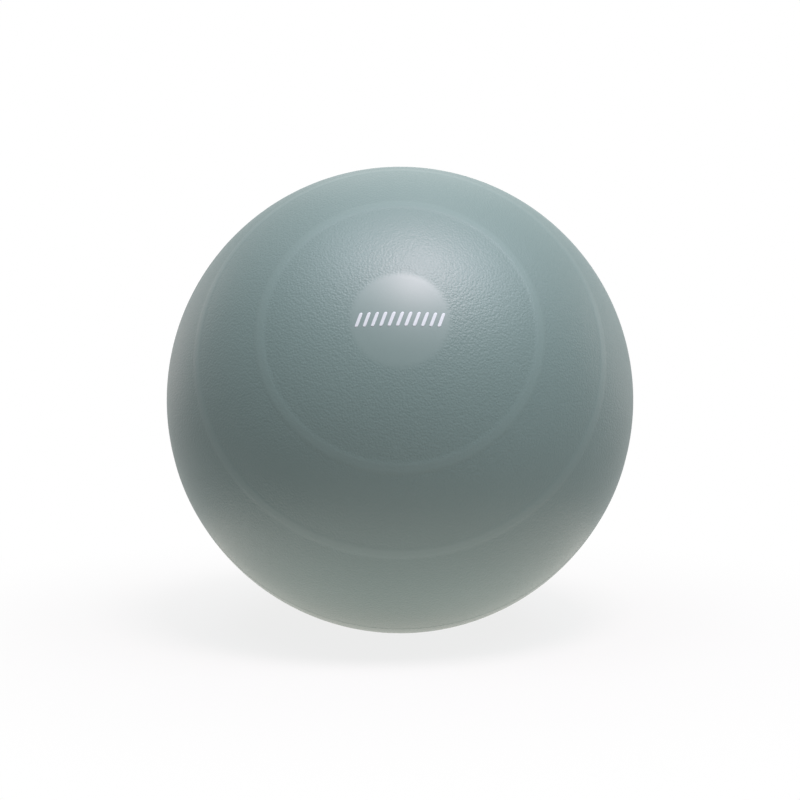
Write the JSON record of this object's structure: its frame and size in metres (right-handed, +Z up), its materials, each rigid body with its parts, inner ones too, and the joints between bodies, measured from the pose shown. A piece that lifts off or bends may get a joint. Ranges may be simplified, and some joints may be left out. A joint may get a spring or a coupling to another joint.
{
  "type": "exercise ball",
  "caption": "Small inflatable exercise ball: grained vinyl skin with smooth raised ribs round its ends, a smooth disc at each pole, and a recessed air valve closed by a pull-out plug.",
  "frame": {"origin": "centre of the ball", "axes": "+Z up, -Y the side with the smooth print disc (the front), +Y the side with the valve; the mould axis lies in the YZ plane and rises 23 degrees towards the front"},
  "size_m": [0.2502, 0.25, 0.25],
  "materials": {
    "vinyl_skin": "satin",
    "valve_vinyl": "satin",
    "white_vinyl": "satin"
  },
  "bodies": {
    "ball": {"ball_skin": "vinyl_skin", "valve_insert": "valve_vinyl"},
    "plug": {"valve_plug": "white_vinyl"}
  },
  "joints": [
    {"name": "plug_pull", "type": "slide", "parent": "ball", "child": "plug", "axis": [0, 0.9205, -0.3907], "range_m": [0, 0.03]}
  ]
}
